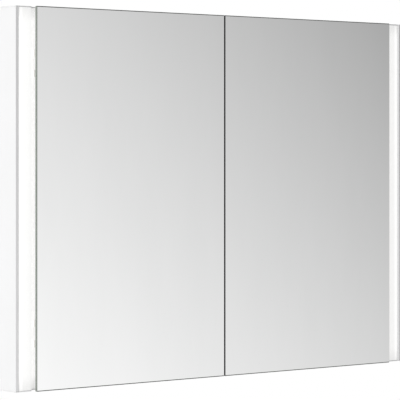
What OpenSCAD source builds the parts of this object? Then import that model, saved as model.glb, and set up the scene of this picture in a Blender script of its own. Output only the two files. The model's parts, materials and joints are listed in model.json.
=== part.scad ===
// Recessed mirror cabinet with two double-sided mirror doors, lit strips at both sides and glass shelves.
// Millimetres. X to the right, Y towards the wall, Z up. The origin is the centre of the four fixing holes,
// on the rear face of the back panel; the doors face -Y.

/* [Overall] */
// Width over the two light housings
overall_w = 1000; // [900:10:1200]
// Height of the lit frame in front of the wall
frame_h = 708; // [640:2:800]
// Depth of the storage box inside the wall
recess_d = 100; // [90:1:130]
// Depth of the frame in front of the wall
proud_d = 50; // [50:1:60]

/* [Doors] */
// How far each door passes the frame, at the top and at the bottom
door_over = 0.5; // [0:0.5:3]
// Gap between the two doors
door_gap = 3; // [2:0.5:5]
// Thickness of each mirror pane
pane_t = 2.8; // [2.4:0.1:3]
// Thickness of the film that bonds the two panes of a door
film_t = 0.4; // [0.2:0.1:0.5]
// Space between the frame's front plane and the rear of the glass
door_stand_off = 2.5; // [2.3:0.1:3]

/* [Light strips] */
// Flat front of the silver lip
lip_flat_w = 5; // [4:0.5:6]
// Sloping inner edge of the lip
lip_slope_w = 3; // [2:0.5:4]
// Visible width of the opal diffuser
diffuser_w = 29; // [24:1:36]
// Groove that the door's edge swings into
groove_w = 5; // [5:0.5:8]
// Wall thickness of the housing and the diffuser
strip_wall = 2; // [2:0.2:2.4]

/* [Storage box] */
// Thickness of the side panels
side_t = 15; // [15:1:18]
// Thickness of the top and bottom panels
deck_t = 12; // [12:1:16]
// Thickness of the centre divider
divider_t = 16; // [14:1:20]
// Thickness of the back panel
back_t = 3; // [2:0.5:4]
// Skin thickness of the hollow panels
skin_t = 2; // [1.5:0.25:2.5]
// Thickness of the glass shelves
shelf_t = 6; // [5:1:8]
// Height of the shelves above and below the middle
shelf_z = 100; // [50:50:150]

/* [Hinges] */
// Distance from the middle to the centre of each hinge
hinge_z = 250; // [220:5:270]
// Height of one hinge
hinge_h = 50; // [44:2:60]
// Radius of the hinge pin
pin_r = 2; // [1.8:0.1:2.2]
// Radius of the hinge knuckles
knuckle_r = 4.5; // [4.2:0.1:4.6]

/* [Fixings] */
// Distance between the wall fixing holes, side to side
fixing_x = 760; // [600:10:780]
// Distance between the wall fixing holes, top to bottom
fixing_z = 580; // [560:10:590]
// Radius of the wall fixing holes
fixing_r = 3; // [2.5:0.25:4]

/* [Hidden] */
$fn = 48;
cut = 1;                                         // how far a cutting shape passes a face
bite = 0.01;
play = 0.2;                                      // clearance between flat faces that slide together
rattle = 0.3;
screw_play = 0.1;

// Depth planes, from the wall forwards
wall_y = -recess_d;                              // the finished wall
gasket_t = 1;
collar_y = wall_y - gasket_t;                    // rear of the lit frame
front_y = wall_y - proud_d;                      // front plane of the frame
glass_rear_y = front_y - door_stand_off;
film_y = glass_rear_y - pane_t;                  // where the rear pane meets the film
glass_front_y = film_y - film_t - pane_t;
film_inset = 0.6;

// Widths, counted from the middle
half_w = overall_w / 2;
lip_in_x = half_w - lip_flat_w - lip_slope_w;
groove_out_x = lip_in_x - diffuser_w;
door_edge_x = groove_out_x - groove_w;
gap_x = door_gap / 2;
side_out_x = door_edge_x - 3;
side_in_x = side_out_x - side_t;
housing_in_x = side_out_x + 0.5;
outer_wall_x = half_w - 3;

// Heights, counted from the middle
half_h = frame_h / 2;
cap_t = 2;
profile_z = half_h - cap_t;                      // end of the extruded housings
door_z = half_h + door_over;
collar_h = 14;
box_z = half_h - collar_h;
inner_z = box_z - deck_t;

// Hinge axis and the clearances that the swing of the glass needs
pivot_x = door_edge_x - 12;
pivot_y = glass_rear_y + 5;
shoulder_y = front_y + 19.5;                     // clears the glass at 105 degrees, with the opal foot
foot_t = 1.5;
foot_y = shoulder_y - foot_t;
nose_x = side_in_x - 6;                          // end of the top collar's front part
foot_end_x = nose_x + rattle;                    // the opal foot's ends reach in to it
pin_clear = 0.05;
pin_head = [1.4, 1.5];                           // how far a pin's head stands out, and its height
knuckle_gap = 0.5;
knuckle_mid = hinge_h / 4 - knuckle_gap;         // half height of the knuckle on the door
leaf_t = 1.5;
leaf_w = 42;
leaf_in = 5.5;                                   // from the axis to the edge of the leaf's plate
neck_w = 8;
arm_t = 2.5;
arm_end_y = shoulder_y + 32;
arm_screw_y = shoulder_y + 19;
arm_screw_z = 15;

// Mirrors on the back panel
mirror_t = 3;
mirror_z = 270;                                  // half their height
mirror_edge = 2;

// Shelves and their pins
clear = 1;
shelf_front_y = front_y + 12;
shelf_rear_y = -10;
peg_r = 2.5;
peg_ys = [front_y + 30, -30];
peg_pitch = 50;
peg_levels = [-3 : 3];
tongue_t = 3;
peg_drop = (shelf_t + tongue_t) / 2;             // from the middle of a shelf down to its pins

// Light strips
board_x = [half_w - 20, half_w - 8];
board_t = 1.6;
board_y = collar_y - strip_wall - board_t;       // front of the boards
board_mid = (board_x[0] + board_x[1]) / 2;
plug_t = 5;
board_z = profile_z - 22;
chip = 3;
chip_t = 0.8;
chip_pitch = 20;
chip_count = 33;
plug_z = [board_z + 1, board_z + 8];
lead_r = 1.5;
riser_r = 2.5;                                   // holes that the leads rise through
lead_z = half_h - 7;
lead_y = [collar_y - 11, collar_y - 17, collar_y - 23];
risers = [[132, lead_y[0]], [120, lead_y[1]], [144, lead_y[2]]];

// Service space for the driver, at the top of the right side
cover_z = inner_z - 42;
cover_t = 1.2;
cover_y = front_y + 10;
cover_screw_len = 10;
driver = [150, 330];
driver_y = [-96, -44];
driver_z = inner_z - 26;
driver_lead_z = inner_z - 12;
terminal_x = [345, 375];
post_xs = [50, 350];
post_y = -118;
post_r = 4;
gland = [400, -50];
gland_r = 8;
gland_bore_r = 4;
gland_hex_r = 12;
gland_head = 6;

// Buttons under the bottom collar
button_xs = [360, 388];
button_y = collar_y - 16;
button_r = 6.6;
button_hole_r = 7;
button_proud = 0.8;                              // also the travel
plunger_r = 1.7;
plunger_z = -box_z - strip_wall - board_t - 3.6; // lowest point of the switches
switch_x = [345, 405];

// Screws
screw_r = 2;
head_r = 3.8;
housing_screw_zs = [-300, -75, 75, 300];
housing_screw_y = shoulder_y + 17;
back_screw_xs = [-330, 0, 330];

module block(lo, hi) translate(lo) cube(hi - lo);

module on_side(side) {
    if (side < 0) mirror([1, 0, 0]) children();
    else children();
}

module on_end(end) {
    if (end < 0) mirror([0, 0, 1]) children();
    else children();
}

// Cylinders along X and Y, from one coordinate to another
module rod_x(r, x0, x1) translate([x0, 0, 0]) rotate([0, 90, 0]) cylinder(r = r, h = x1 - x0);
module rod_y(r, y0, y1) translate([0, y1, 0]) rotate([90, 0, 0]) cylinder(r = r, h = y1 - y0);

// A countersunk cross-head screw, with its head's face at z = 0 and its shank down to -len
module screw(len) {
    slot_w = 0.8;
    slot_d = 0.9;
    slot_r = head_r * 0.6;
    difference() {
        union() {
            translate([0, 0, -len]) cylinder(r = screw_r, h = len);
            translate([0, 0, screw_r - head_r]) cylinder(r1 = screw_r, r2 = head_r, h = head_r - screw_r);
        }
        for (turn = [0, 90]) rotate(turn)
            translate([-slot_r, -slot_w / 2, -slot_d]) cube([2 * slot_r, slot_w, slot_d + cut]);
    }
}

// The hole that such a screw needs
module screw_hole(len) {
    translate([0, 0, -len]) cylinder(r = screw_r + screw_play, h = len + screw_play);
    translate([0, 0, screw_r - head_r])
        cylinder(r1 = screw_r + screw_play, r2 = head_r + screw_play, h = head_r - screw_r);
    cylinder(r = head_r + screw_play, h = cut);
}

// A round lead along a list of points, with ball corners
module lead(points, r) {
    for (i = [0 : len(points) - 2]) {
        step = points[i + 1] - points[i];
        reach = norm(step);
        translate(points[i]) rotate([0, acos(step.z / reach), atan2(step.y, step.x)])
            cylinder(r = r, h = reach);
        if (i > 0) translate(points[i]) sphere(r = r);
    }
}

module at_housing_screws() {
    for (z = housing_screw_zs)
        translate([side_in_x, housing_screw_y, z]) rotate([0, -90, 0]) children();
}

module at_hinge_screws() {
    for (end = [-1, 1], dz = [-arm_screw_z, arm_screw_z])
        translate([side_in_x, arm_screw_y, end * hinge_z + dz]) rotate([0, -90, 0]) children();
}

module at_hinges() {
    for (end = [-1, 1]) translate([pivot_x, pivot_y, end * hinge_z]) children();
}

// ---- Storage box ----
module box_side(side) color("gainsboro") on_side(side) difference() {
    translate([0, 0, -box_z]) linear_extrude(height = 2 * box_z) difference() {
        translate([side_in_x, shoulder_y]) square([side_t, -back_t - shoulder_y]);
        chambers = 3;
        span = (-back_t - shoulder_y - skin_t) / chambers;
        for (i = [0 : chambers - 1])
            translate([side_in_x + skin_t, shoulder_y + skin_t + i * span])
                square([side_t - 2 * skin_t, span - skin_t]);
    }
    at_housing_screws() screw_hole(side_t + cut);
    at_hinge_screws() screw_hole(skin_t + cut);
    for (end = [-1, 1])
        block([side_in_x + skin_t - bite, shoulder_y - cut, end * hinge_z - hinge_h / 2 - play],
              [side_in_x + skin_t + arm_t + play, shoulder_y + skin_t + cut,
               end * hinge_z + hinge_h / 2 + play]);
    for (y = peg_ys, level = peg_levels)
        translate([0, y, level * peg_pitch - peg_drop])
            rod_x(peg_r + screw_play, side_in_x - cut, side_in_x + skin_t + cut);
    at_back_screws() screw_hole(back_t + 2 * cut);
}

// A hollow panel across the box, between the two sides
module deck(z0) {
    chambers = 3;
    span = (-back_t - front_y - skin_t) / chambers;
    difference() {
        block([-side_in_x, front_y, z0], [side_in_x, -back_t, z0 + deck_t]);
        for (i = [0 : chambers - 1])
            block([-side_in_x - cut, front_y + skin_t + i * span, z0 + skin_t],
                  [side_in_x + cut, front_y + (i + 1) * span, z0 + deck_t - skin_t]);
        at_back_screws() screw_hole(back_t + 2 * cut);
    }
}

module at_collar_screws(z, facing) {
    for (x = [-400, -200, 200, 400])
        translate([x, collar_y - 8, z]) rotate([facing < 0 ? 180 : 0, 0, 0]) children();
}

module box_top() color("gainsboro") difference() {
    deck(inner_z);
    at_collar_screws(inner_z, -1) screw_hole(deck_t + cut);
    for (at = risers) translate([at.x, at.y, inner_z - cut]) cylinder(r = riser_r, h = deck_t + 2 * cut);
    translate([gland.x, gland.y, inner_z - cut]) cylinder(r = gland_r + screw_play, h = deck_t + 2 * cut);
}

module box_bottom() color("gainsboro") difference() {
    deck(-box_z);
    at_collar_screws(-inner_z, 1) screw_hole(deck_t + cut);
}

module at_back_screws() {
    for (x = back_screw_xs, end = [-1, 1])
        translate([x, 0, end * (box_z - deck_t / 2)]) rotate([-90, 0, 0]) children();
    for (side = [-1, 1], end = [-1, 1])
        translate([side * (side_in_x + side_t / 2), 0, end * 160]) rotate([-90, 0, 0]) children();
}

module back_panel() color("silver") difference() {
    block([-side_out_x, -back_t, -box_z], [side_out_x, 0, box_z]);
    for (x = [-1, 1], z = [-1, 1]) translate([x * fixing_x / 2, 0, z * fixing_z / 2])
        rod_y(fixing_r, -back_t - cut, cut);
    at_back_screws() screw_hole(back_t + cut);
}

module centre_divider() color("gainsboro") {
    front = front_y + 1;
    chambers = 3;
    span = (-back_t - front - skin_t) / chambers;
    difference() {
        block([-divider_t / 2, front, -inner_z], [divider_t / 2, -back_t, inner_z]);
        for (i = [0 : chambers - 1])
            block([-divider_t / 2 + skin_t, front + skin_t + i * span, -inner_z - cut],
                  [divider_t / 2 - skin_t, front + (i + 1) * span, inner_z + cut]);
        for (side = [-1, 1], y = peg_ys, level = peg_levels) on_side(side)
            translate([0, y, level * peg_pitch - peg_drop])
                rod_x(peg_r + screw_play, divider_t / 2 - skin_t - cut, divider_t / 2 + cut);
    }
}

module back_mirror(side) color("lightblue") on_side(side)
    block([divider_t / 2 + mirror_edge, -back_t - mirror_t, -mirror_z],
          [side_in_x - mirror_edge, -back_t, mirror_z]);

// ---- Frame in front of the wall ----
module collar_top() color("silver") difference() {
    union() {
        block([-side_out_x, shoulder_y, box_z], [side_out_x, collar_y, half_h]);
        block([-nose_x, front_y, box_z], [nose_x, shoulder_y, half_h]);
    }
    block([-side_out_x - cut, shoulder_y + strip_wall, box_z + strip_wall],
          [side_out_x + cut, collar_y - strip_wall, half_h - strip_wall]);
    block([-nose_x + strip_wall, front_y + strip_wall, box_z + strip_wall],
          [nose_x - strip_wall, shoulder_y + strip_wall + cut, half_h - strip_wall]);
    at_collar_screws(inner_z, -1) screw_hole(deck_t + strip_wall + cut);
    for (at = risers) translate([at.x, at.y, box_z - cut]) cylinder(r = riser_r, h = strip_wall + 2 * cut);
}

module collar_bottom() color("silver") difference() {
    block([-side_out_x, shoulder_y, -half_h], [side_out_x, collar_y, -box_z]);
    block([-side_out_x - cut, shoulder_y + strip_wall, -half_h + strip_wall],
          [side_out_x + cut, collar_y - strip_wall, -box_z - strip_wall]);
    at_collar_screws(-inner_z, 1) screw_hole(deck_t + strip_wall + cut);
    for (x = button_xs) translate([x, button_y, -half_h - cut])
        cylinder(r = button_hole_r, h = strip_wall + 2 * cut);
}

module wall_gasket() color("dimgray") difference() {
    inset = 2;                                   // hidden behind the frame's edge
    hole_x = side_out_x + 15;
    hole_z = box_z + 3;
    block([-half_w + inset, collar_y, -half_h + inset], [half_w - inset, wall_y, half_h - inset]);
    block([-hole_x, collar_y - cut, -hole_z], [hole_x, wall_y + cut, hole_z]);
}

// ---- Light strips ----
module strip_outline() polygon([
    [housing_in_x, collar_y], [half_w, collar_y], [half_w, front_y], [half_w - lip_flat_w, front_y],
    [lip_in_x, front_y + strip_wall], [groove_out_x, front_y + strip_wall],
    [groove_out_x, shoulder_y], [housing_in_x, shoulder_y]
]);

module light_housing(side) color("silver") on_side(side) difference() {
    inner_wall_x = groove_out_x + strip_wall;
    rail_y = [housing_screw_y - 6, housing_screw_y + 6];
    rail_z = box_z - 15;
    pass = 4;                                    // room for the leads, round their middles
    translate([0, 0, -profile_z]) linear_extrude(height = 2 * profile_z) difference() {
        strip_outline();
        translate([inner_wall_x, front_y + strip_wall])
            square([outer_wall_x - inner_wall_x, collar_y - front_y - 2 * strip_wall]);
        translate([groove_out_x - bite, front_y + strip_wall - bite])
            square([strip_wall + 2 * bite, shoulder_y - front_y - strip_wall + bite]);
        translate([housing_in_x - cut, shoulder_y + strip_wall])
            square([groove_out_x - housing_in_x + cut, rail_y[0] - shoulder_y - strip_wall]);
        translate([housing_in_x - cut, rail_y[1]])
            square([groove_out_x - housing_in_x + cut, collar_y - strip_wall - rail_y[1]]);
    }
    for (end = [-1, 1]) on_end(end) {
        block([housing_in_x - cut, rail_y[0] - bite, rail_z],
              [groove_out_x, rail_y[1] + bite, profile_z + cut]);
        block([groove_out_x - cut, lead_y[2] - pass, lead_z - pass],
              [inner_wall_x + cut, lead_y[0] + pass, lead_z + pass]);
    }
    for (z = housing_screw_zs) translate([0, housing_screw_y, z])
        rod_x(screw_r + screw_play, housing_in_x - cut, groove_out_x - cut);
}

// Opal profile: the lit front, a leg along the groove and a foot in front of the side panel's edge
module diffuser(side) color("white") on_side(side) difference() {
    end_z = profile_z - play;
    plate_y = front_y + strip_wall;
    foot_x = side_in_x + play;
    joint = 1;                                   // overlap between the foot and its wider ends
    union() {
        translate([0, 0, -end_z]) linear_extrude(height = 2 * end_z) {
            translate([groove_out_x, plate_y]) square([outer_wall_x - rattle - groove_out_x, strip_wall]);
            translate([groove_out_x, plate_y]) square([strip_wall, shoulder_y - plate_y]);
            translate([foot_x, foot_y]) square([groove_out_x + strip_wall - foot_x, foot_t]);
        }
        for (end = [-1, 1]) on_end(end)
            block([foot_end_x, foot_y, box_z + play], [foot_x + joint, shoulder_y, end_z]);
    }
    for (hinge = [-1, 1], strap = [-1, 1])
        translate([0, 0, hinge * hinge_z + strap * hinge_h * 3 / 8])
            block([side_in_x, foot_y - cut, -hinge_h / 8 - play],
                  [side_in_x + skin_t + arm_t + 2 * play, shoulder_y + cut, hinge_h / 8 + play]);
}

module led_board(side) color("white") on_side(side)
    block([board_x[0], board_y, -board_z], [board_x[1], collar_y - strip_wall, plug_z[1] + 1]);

module led_chips(side) color("khaki") on_side(side) for (i = [0 : chip_count - 1])
    translate([board_mid - chip / 2, board_y - chip_t, (i - (chip_count - 1) / 2) * chip_pitch - chip / 2])
        cube([chip, chip_t, chip]);

module led_plugs() color("ivory") for (side = [-1, 1]) on_side(side)
    block([board_x[0] + 1, board_y - plug_t, plug_z[0]], [board_x[1] - 1, board_y, plug_z[1]]);

// Caps over both ends of a housing and of the opal profile with its foot
module end_caps(side) color("silver") on_side(side) for (end = [-1, 1]) on_end(end) {
    tuck = strip_wall + play;
    translate([0, 0, profile_z]) linear_extrude(height = cap_t) {
        strip_outline();
        translate([foot_end_x, foot_y]) square([groove_out_x + strip_wall - foot_end_x, foot_t]);
    }
    block([groove_out_x + tuck + play, front_y + 2 * strip_wall + rattle, profile_z - cap_t],
          [outer_wall_x - rattle, collar_y - tuck, profile_z]);
}

// ---- Electrics ----
module driver_box() color("whitesmoke") difference() {
    vent = [4, 1.5, 14];
    vent_pitch = 12;
    vent_start = 25;
    block([driver[0], driver_y[0], driver_z], [driver[1], driver_y[1], inner_z]);
    for (i = [0 : 11])
        translate([driver[0] + vent_start + i * vent_pitch, driver_y[0] - cut, driver_z + 6])
            cube([vent.x, vent.y + cut, vent.z]);
}

module driver_cover() color("silver") difference() {
    union() {
        block([divider_t / 2 + clear, cover_y, cover_z],
              [side_in_x - clear, cover_y + cover_t, inner_z - rattle]);
        block([divider_t / 2 + clear, cover_y, cover_z],
              [side_in_x - clear, -back_t - mirror_t - clear, cover_z + cover_t]);
    }
    for (x = post_xs) translate([x, post_y, cover_z]) rotate([180, 0, 0]) screw_hole(cover_t + cut);
}

module cover_posts() color("silver") for (x = post_xs) translate([x, post_y, cover_z + cover_t])
    difference() {
        cylinder(r = post_r, h = inner_z - cover_z - cover_t);
        translate([0, 0, -cut]) cylinder(r = screw_r + screw_play, h = cover_screw_len + 2 * cut);
        translate([0, 0, -bite])
            cylinder(r1 = head_r - cover_t + play, r2 = screw_r + screw_play, h = head_r - screw_r - cut);
    }

module cover_screws() color("silver") for (x = post_xs)
    translate([x, post_y, cover_z]) rotate([180, 0, 0]) screw(cover_screw_len);

module terminal_block() color("white") difference() {
    height = 16;
    pole = 10;
    well_d = 4;
    block([terminal_x[0], gland.y - pole, inner_z - height], [terminal_x[1], gland.y + pole, inner_z]);
    for (i = [0 : 2])
        translate([terminal_x[0] + (i + 0.5) * pole, gland.y + pole / 2, inner_z - height - cut])
            cylinder(r = 2, h = well_d + cut);
}

module cable_gland() color("dimgray") translate([gland.x, gland.y, 0]) difference() {
    union() {
        translate([0, 0, inner_z - gland_head]) cylinder(r = gland_r, h = deck_t + 2 * gland_head);
        translate([0, 0, inner_z - gland_head]) cylinder(r = gland_hex_r, h = gland_head, $fn = 6);
    }
    translate([0, 0, inner_z - gland_head - cut])
        cylinder(r = gland_bore_r, h = deck_t + 2 * gland_head + 2 * cut);
}

module gland_nut() color("dimgray") translate([gland.x, gland.y, box_z]) difference() {
    nut_h = 5;
    cylinder(r = gland_hex_r, h = nut_h, $fn = 6);
    translate([0, 0, -cut]) cylinder(r = gland_r + pin_clear, h = nut_h + 2 * cut);
}

module supply_lead() color("gray")
    lead([[terminal_x[0], gland.y, driver_lead_z], [driver[1], gland.y, driver_lead_z]], 2);

// Route of a strip's lead: out of the driver, up into the top collar, across, and down to the board
function strip_route(side, exit_y, riser) =
    let (drop_y = board_y - plug_t / 2) [
        [driver[0], exit_y, driver_lead_z], [riser.x, exit_y, driver_lead_z],
        [riser.x, riser.y, driver_lead_z], [riser.x, riser.y, lead_z], [side * board_mid, riser.y, lead_z],
        [side * board_mid, drop_y, lead_z], [side * board_mid, drop_y, plug_z[1]]
    ];

module led_lead_left() color("white") lead(strip_route(-1, -70, risers[1]), lead_r);
module led_lead_right() color("white") lead(strip_route(1, -80, risers[0]), lead_r);

module switch_lead() color("white") {
    riser = risers[2];
    drop_x = groove_out_x + strip_wall + 4;
    lead([
        [driver[0], -90, driver_lead_z], [riser.x, -90, driver_lead_z], [riser.x, riser.y, driver_lead_z],
        [riser.x, riser.y, lead_z], [drop_x, riser.y, lead_z], [drop_x, riser.y, -lead_z],
        [switch_x[1], riser.y, -lead_z]
    ], lead_r);
}

module switch_board() color("seagreen") {
    top = -box_z - strip_wall;
    block([switch_x[0], button_y - 10, top - board_t], [switch_x[1], button_y + 5, top]);
    key = 3;                                     // half width of a switch, and of the lead's socket
    key_gap = 0.6;                               // how far a plunger stands out of its switch
    socket_h = 5.9;
    for (x = button_xs) translate([x, button_y, 0]) {
        block([-key, -key, plunger_z + key_gap], [key, key, top - board_t]);
        translate([0, 0, plunger_z]) cylinder(r = plunger_r, h = key_gap + bite);
    }
    block([switch_x[1] - 2 * key, lead_y[2] - key, top - board_t - socket_h],
          [switch_x[1], lead_y[2] + key, top - board_t]);
}

module button(x) translate([x, button_y, 0]) {
    skin_z = -half_h + strip_wall;
    flange = 1.2;                                // its width and its height
    translate([0, 0, -half_h - button_proud])
        cylinder(r = button_r, h = strip_wall + button_proud + flange);
    translate([0, 0, skin_z + rattle]) cylinder(r = button_hole_r + flange, h = flange);
    translate([0, 0, skin_z + flange])
        cylinder(r = plunger_r + screw_play, h = plunger_z - button_proud - screw_play - skin_z - flange);
}
module power_button() color("silver") button(button_xs[1]);
module colour_button() color("silver") button(button_xs[0]);

// ---- Shelves ----
module shelf(side, level) color("lightcyan") on_side(side)
    block([divider_t / 2 + clear, shelf_front_y, level * shelf_z - shelf_t / 2],
          [side_in_x - clear, shelf_rear_y, level * shelf_z + shelf_t / 2]);

// One pin that points to -X from a panel face at x = 0, with a flat tongue under the shelf
module shelf_pin() {
    collar_t = clear;
    tongue = [8, 4];                             // length and half width
    rod_x(peg_r, 0, 6);
    rod_x(tongue[1], -collar_t, 0);
    block([-collar_t - tongue[0], -tongue[1], -tongue_t / 2], [-collar_t, tongue[1], tongue_t / 2]);
}

module shelf_pins() color("silver") for (side = [-1, 1], level = [-1, 1], y = peg_ys) on_side(side) {
    z = level * shelf_z - peg_drop;
    translate([side_in_x, y, z]) shelf_pin();
    translate([divider_t / 2, y, z]) mirror([1, 0, 0]) shelf_pin();
}

// ---- Hinges ----
module hinge_arms(side) color("silver") on_side(side) at_hinges() difference() {
    plate_x = side_in_x + skin_t - pivot_x;
    reach = arm_end_y - pivot_y;
    union() {
        for (end = [-1, 1]) on_end(end) {
            translate([0, 0, hinge_h / 4]) cylinder(r = knuckle_r, h = hinge_h / 4);
            block([plate_x, 0, hinge_h / 4], [plate_x + arm_t, reach, hinge_h / 2]);
        }
        block([plate_x, shoulder_y - pivot_y, -hinge_h / 2], [plate_x + arm_t, reach, hinge_h / 2]);
    }
    translate([0, 0, -hinge_h]) cylinder(r = pin_r + pin_clear, h = 2 * hinge_h);
    for (dz = [-arm_screw_z, arm_screw_z]) translate([0, arm_screw_y - pivot_y, dz])
        rod_x(screw_r + screw_play, plate_x - cut, plate_x + arm_t + cut);
}

module hinge_pins(side) color("silver") on_side(side) at_hinges() {
    translate([0, 0, -hinge_h / 2]) cylinder(r = pin_r, h = hinge_h);
    translate([0, 0, hinge_h / 2]) cylinder(r = pin_r + pin_head[0], h = pin_head[1]);
}

module hinge_leaves(side) color("silver") on_side(side) at_hinges() {
    plate_y = [glass_rear_y - pivot_y, glass_rear_y - pivot_y + leaf_t];
    difference() {
        union() {
            translate([0, 0, -knuckle_mid]) cylinder(r = knuckle_r, h = 2 * knuckle_mid);
            block([-neck_w, plate_y[0], -knuckle_mid], [0, plate_y[1], knuckle_mid]);
            block([-leaf_in - leaf_w, plate_y[0], -hinge_h / 2], [-leaf_in, plate_y[1], hinge_h / 2]);
        }
        translate([0, 0, -hinge_h]) cylinder(r = pin_r + pin_clear, h = 2 * hinge_h);
    }
}

module hinge_screws() color("silver") for (side = [-1, 1]) on_side(side)
    at_hinge_screws() screw(skin_t + arm_t + 1);

module housing_screws() color("silver") for (side = [-1, 1]) on_side(side)
    at_housing_screws() screw(side_t + 6);

module back_screws() color("silver") at_back_screws() screw(back_t + 1.5);

module collar_screws() color("silver") {
    at_collar_screws(inner_z, -1) screw(deck_t + strip_wall + 1);
    at_collar_screws(-inner_z, 1) screw(deck_t + strip_wall + 1);
}

module door_bumpers() color("lightgray")
    for (side = [-1, 1], end = [-1, 1], x = [40, side_in_x - 80])
        translate([side * x, 0, end * (inner_z + deck_t / 2)]) rod_y(4, glass_rear_y + play, front_y);

// ---- Doors ----
module pane(side, y0, y1, inset) on_side(side)
    block([gap_x + inset, y0, -door_z + inset], [door_edge_x - inset, y1, door_z - inset]);

module door_front_pane(side) color("lightsteelblue") pane(side, glass_front_y, glass_front_y + pane_t, 0);
module door_film(side) color("darkslategray") pane(side, film_y - film_t, film_y, film_inset);
module door_rear_pane(side) color("lightsteelblue") pane(side, film_y, glass_rear_y, 0);

box_side(-1);  // box_side_left
box_side(1);  // box_side_right
box_top();
box_bottom();
back_panel();
centre_divider();
back_mirror(-1);  // back_mirror_left
back_mirror(1);  // back_mirror_right
collar_top();
collar_bottom();
wall_gasket();
light_housing(-1);  // light_housing_left
light_housing(1);  // light_housing_right
diffuser(-1);  // diffuser_left
diffuser(1);  // diffuser_right
led_board(-1);  // led_board_left
led_board(1);  // led_board_right
led_chips(-1);  // led_chips_left
led_chips(1);  // led_chips_right
led_plugs();
end_caps(-1);  // end_caps_left
end_caps(1);  // end_caps_right
driver_box();
driver_cover();
cover_posts();
terminal_block();
cable_gland();
gland_nut();
supply_lead();
led_lead_left();
led_lead_right();
switch_lead();
switch_board();
power_button();
colour_button();
shelf(-1, 1);  // shelf_left_upper
shelf(-1, -1);  // shelf_left_lower
shelf(1, 1);  // shelf_right_upper
shelf(1, -1);  // shelf_right_lower
shelf_pins();
hinge_arms(-1);  // hinge_arms_left
hinge_arms(1);  // hinge_arms_right
hinge_pins(-1);  // hinge_pins_left
hinge_pins(1);  // hinge_pins_right
hinge_screws();
housing_screws();
back_screws();
collar_screws();
cover_screws();
door_bumpers();
door_front_pane(-1);  // door_left_front_pane
door_film(-1);  // door_left_film
door_rear_pane(-1);  // door_left_rear_pane
hinge_leaves(-1);  // hinge_leaves_left
door_front_pane(1);  // door_right_front_pane
door_film(1);  // door_right_film
door_rear_pane(1);  // door_right_rear_pane
hinge_leaves(1);  // hinge_leaves_right
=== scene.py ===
import json
import math

import bmesh
import bpy
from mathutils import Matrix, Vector

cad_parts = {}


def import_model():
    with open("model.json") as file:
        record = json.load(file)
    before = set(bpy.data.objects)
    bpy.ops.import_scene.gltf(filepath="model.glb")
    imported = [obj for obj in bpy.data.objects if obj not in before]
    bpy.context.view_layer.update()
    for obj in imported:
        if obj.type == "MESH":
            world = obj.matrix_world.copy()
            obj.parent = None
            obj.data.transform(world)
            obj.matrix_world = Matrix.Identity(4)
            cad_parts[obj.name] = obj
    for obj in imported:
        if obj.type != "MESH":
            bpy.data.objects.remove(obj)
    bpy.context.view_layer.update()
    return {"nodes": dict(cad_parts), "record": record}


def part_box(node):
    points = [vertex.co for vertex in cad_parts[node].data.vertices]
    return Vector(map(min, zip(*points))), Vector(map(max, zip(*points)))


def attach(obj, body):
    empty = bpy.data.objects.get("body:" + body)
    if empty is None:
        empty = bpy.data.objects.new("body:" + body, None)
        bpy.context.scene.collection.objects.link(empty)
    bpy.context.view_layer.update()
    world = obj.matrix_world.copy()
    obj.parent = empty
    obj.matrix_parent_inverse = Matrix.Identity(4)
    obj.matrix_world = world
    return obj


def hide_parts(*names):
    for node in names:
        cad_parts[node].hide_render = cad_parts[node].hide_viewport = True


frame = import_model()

# Metres, in the cabinet's own frame: X right, Y towards the wall, Z up, doors facing -Y.
MM = 0.001
SIDES = {"left": -1, "right": 1}


# ---------------------------------------------------------------- measures taken from the frame
DOOR_LOW, DOOR_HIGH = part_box("door_right_front_pane")
DOOR_FRONT_Y, DOOR_EDGE_X = DOOR_LOW.y, DOOR_HIGH.x
DIFFUSER_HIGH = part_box("diffuser_right")[1]


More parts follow.
